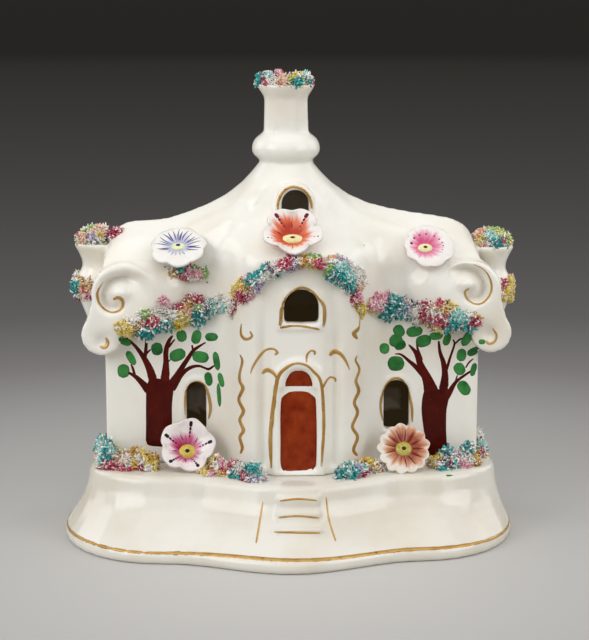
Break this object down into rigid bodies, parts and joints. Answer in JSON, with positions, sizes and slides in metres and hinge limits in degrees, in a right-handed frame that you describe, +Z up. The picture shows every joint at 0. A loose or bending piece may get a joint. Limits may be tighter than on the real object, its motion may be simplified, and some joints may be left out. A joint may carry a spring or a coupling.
{
  "type": "pastille burner",
  "caption": "Porcelain cottage pastille burner with a bow front, scrolled corners and chimney flue; the cottage lifts off a flared base that holds a scented pastille.",
  "frame": {"origin": "on the floor under the middle of the foot", "axes": "+Z up, the door faces -Y, +X to the right as seen from the front"},
  "size_m": [0.1367, 0.0818, 0.1374],
  "materials": {
    "porcelain": "clear glossy glaze",
    "coloured_clay": "shredded clay with brushed enamel tips",
    "left_flower": "glossy enamel over glaze",
    "flower_centre": "glossy enamel over glaze",
    "right_flower": "glossy enamel over glaze",
    "pastille": "matt pressed charcoal",
    "blue_flower": "glossy enamel over glaze",
    "coral_flower": "glossy enamel over glaze",
    "pink_flower": "glossy enamel over glaze"
  },
  "bodies": {
    "base": {"base": "porcelain", "moss_left_outer": "coloured_clay", "moss_left_inner": "coloured_clay", "moss_right_inner": "coloured_clay", "moss_right_outer": "coloured_clay", "moss_left_end": "coloured_clay", "moss_right_end": "coloured_clay", "left_flower_petals": "left_flower", "left_flower_centre": "flower_centre", "right_flower_petals": "right_flower", "right_flower_centre": "flower_centre"},
    "cottage": {"front_walls": "porcelain", "rear_walls": "porcelain", "roof": "porcelain", "chimney": "porcelain", "chimney_moss": "coloured_clay", "scroll_front_left": "porcelain", "scroll_front_right": "porcelain", "scroll_rear_left": "porcelain", "scroll_rear_right": "porcelain", "turret_left": "porcelain", "turret_right": "porcelain", "turret_moss_left": "coloured_clay", "turret_moss_right": "coloured_clay", "turret_foot_moss_left": "coloured_clay", "turret_foot_moss_right": "coloured_clay", "eaves_moss_left": "coloured_clay", "gable_moss": "coloured_clay", "eaves_moss_right": "coloured_clay", "roof_moss": "coloured_clay", "blue_flower_petals": "blue_flower", "blue_flower_centre": "flower_centre", "coral_flower_petals": "coral_flower", "coral_flower_centre": "flower_centre", "pink_flower_petals": "pink_flower", "pink_flower_centre": "flower_centre"},
    "pastille": {"pastille": "pastille"}
  },
  "joints": [
    {"name": "cottage_lift", "type": "slide", "parent": "base", "child": "cottage", "axis": [0, 0, 1], "range_m": [0, 0.1]},
    {"name": "pastille_lift", "type": "slide", "parent": "base", "child": "pastille", "axis": [0, 0, 1], "range_m": [0, 0.03]}
  ]
}
